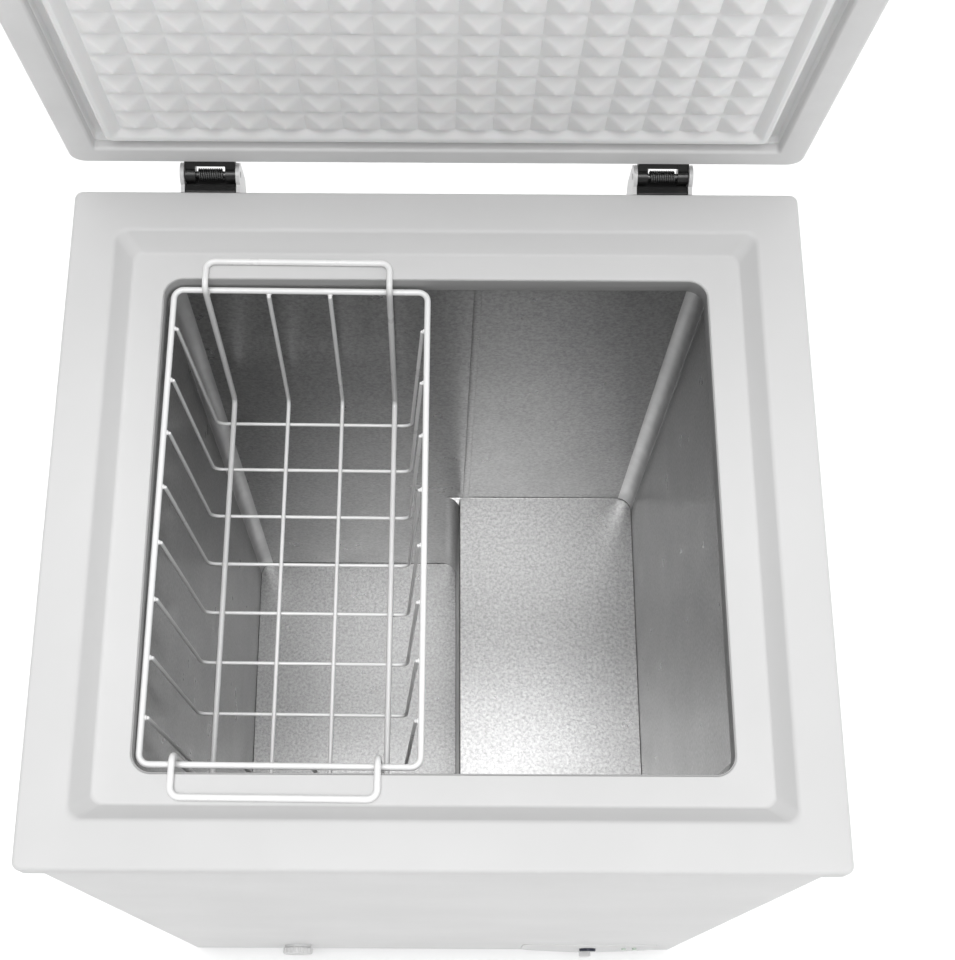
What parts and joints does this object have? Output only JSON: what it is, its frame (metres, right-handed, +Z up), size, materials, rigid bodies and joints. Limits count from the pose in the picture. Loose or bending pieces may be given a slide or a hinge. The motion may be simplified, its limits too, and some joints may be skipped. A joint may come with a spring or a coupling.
{
  "type": "chest freezer",
  "caption": "Small chest freezer standing open, with an embossed metal liner, a raised compressor step and one wire basket hung over the deep well.",
  "frame": {"origin": "on the floor, under the middle of the cabinet's footprint", "axes": "+X to the right as seen from the front, -Y towards the front, +Z up"},
  "size_m": [0.56, 0.5804, 1.3567],
  "materials": {
    "white_paint": "gloss",
    "white_plastic": "satin",
    "liner_aluminium": "satin",
    "grey_strip": "satin",
    "insulating_foam": "matte",
    "galvanised_steel": "satin",
    "copper_tube": "satin",
    "aluminium_tube": "satin",
    "black_paint": "satin",
    "black_plastic": "satin",
    "rubber_black": "matte",
    "grey_seal": "matte",
    "white_lid_liner": "satin",
    "pale_bracket": "satin",
    "screw_steel": "satin",
    "pin_steel": "polished",
    "spring_steel": "satin",
    "coated_wire": "gloss",
    "knob_navy": "satin",
    "green_lens": "gloss",
    "plug_white": "matte"
  },
  "bodies": {
    "cabinet": {"outer_wrap": "white_paint", "back_panel": "galvanised_steel", "base_plate": "galvanised_steel", "cabinet_foam": "insulating_foam", "inner_liner": "liner_aluminium", "top_frame": "white_plastic", "opening_strip": "grey_strip", "evaporator_tube": "aluminium_tube", "condenser_tube": "copper_tube", "drain_tube": "white_plastic", "side_vent_grille": "white_plastic", "rear_grille": "galvanised_steel", "rear_grille_screws": "screw_steel", "cord_inlet": "black_plastic", "feet": "black_plastic", "foot_screws": "screw_steel", "compressor_shell": "black_paint", "compressor_foot_plate": "black_paint", "compressor_grommets": "rubber_black", "compressor_bolts": "screw_steel", "relay_box": "black_plastic", "filter_drier": "copper_tube", "capillary_tube": "copper_tube", "discharge_pipe": "copper_tube", "suction_pipe": "copper_tube", "process_pipe": "copper_tube", "thermostat_body": "black_plastic", "sensor_tube": "copper_tube", "wiring_loom": "black_plastic", "control_panel": "white_plastic", "indicator_lamps": "green_lens", "hinge_bracket_screws": "screw_steel", "hinge_bracket_left": "pale_bracket", "hinge_pin_left": "pin_steel", "hinge_spring_left": "spring_steel", "hinge_cover_left": "black_plastic", "hinge_bracket_right": "pale_bracket", "hinge_pin_right": "pin_steel", "hinge_spring_right": "spring_steel", "hinge_cover_right": "black_plastic"},
    "lid": {"lid_outer_shell": "white_paint", "lid_foam": "insulating_foam", "lid_liner": "white_lid_liner", "lid_gasket": "grey_seal", "lid_handle": "white_plastic", "lid_handle_screws": "screw_steel", "hinge_leaf_screws": "screw_steel", "hinge_leaf_left": "black_paint", "hinge_leaf_right": "black_paint"},
    "basket": {"basket_rim": "coated_wire", "basket_hanger": "coated_wire", "basket_cross_wires": "coated_wire", "basket_long_wires": "coated_wire"},
    "thermostat_dial": {"thermostat_knob": "knob_navy", "knob_grip": "white_plastic", "knob_shaft": "pin_steel"},
    "well_plug": {"drain_plug": "plug_white"},
    "outlet_cap": {"drain_cap": "white_plastic"}
  },
  "joints": [
    {"name": "lid_hinge", "type": "hinge", "parent": "cabinet", "child": "lid", "pos_m": [0, 0.274, 0.805], "axis": [-1, 0, 0], "range_deg": [-82.3, 5]},
    {"name": "basket_lift", "type": "slide", "parent": "cabinet", "child": "basket", "axis": [0, 0, 1], "range_m": [0, 0.26]},
    {"name": "thermostat_turn", "type": "hinge", "parent": "cabinet", "child": "thermostat_dial", "pos_m": [0.175, -0.257, 0.062], "axis": [0, -1, 0], "range_deg": [-135, 135]},
    {"name": "drain_plug_lift", "type": "slide", "parent": "cabinet", "child": "well_plug", "axis": [0, 0, 1], "range_m": [0, 0.03]},
    {"name": "drain_cap_pull", "type": "slide", "parent": "cabinet", "child": "outlet_cap", "axis": [0, -1, 0], "range_m": [0, 0.02]}
  ]
}
